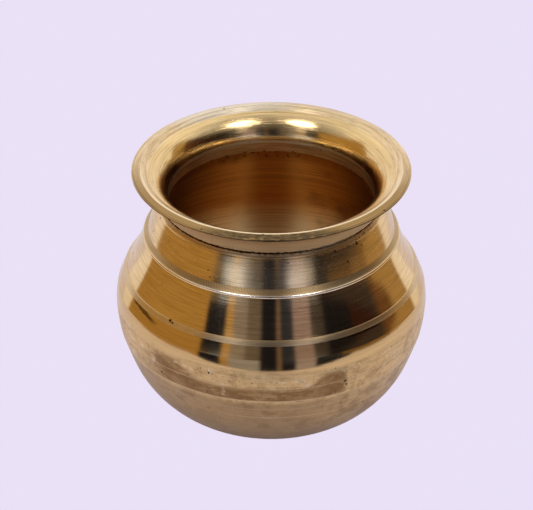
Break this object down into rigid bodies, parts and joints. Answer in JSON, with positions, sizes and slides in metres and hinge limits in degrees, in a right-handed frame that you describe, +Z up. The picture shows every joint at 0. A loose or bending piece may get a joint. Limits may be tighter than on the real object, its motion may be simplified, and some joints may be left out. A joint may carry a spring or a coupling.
{
  "type": "brass water pot",
  "caption": "Round-bellied brass water pot with a turned shoulder, a short neck, a flared mouth with a rounded lip, and a flat foot.",
  "frame": {"origin": "centre of the flat foot, where the pot stands", "axes": "+Z up along the pot's own axis, out of the mouth; X and Y are any two directions across it"},
  "size_m": [0.1298, 0.1298, 0.1121],
  "materials": {
    "bowl_brass": "turned and polished, satin below the belly, a little tarnished",
    "shoulder_brass": "turned and polished bright, with fine turning lines and pits",
    "mouth_brass": "turned and polished lip, matte turned neck",
    "brazing_metal": "rough, dark and pitted"
  },
  "bodies": {
    "root": {"belly_bowl": "bowl_brass", "belly_braze": "brazing_metal", "shoulder_shell": "shoulder_brass", "neck_braze": "brazing_metal", "mouth_flare": "mouth_brass"}
  },
  "joints": []
}
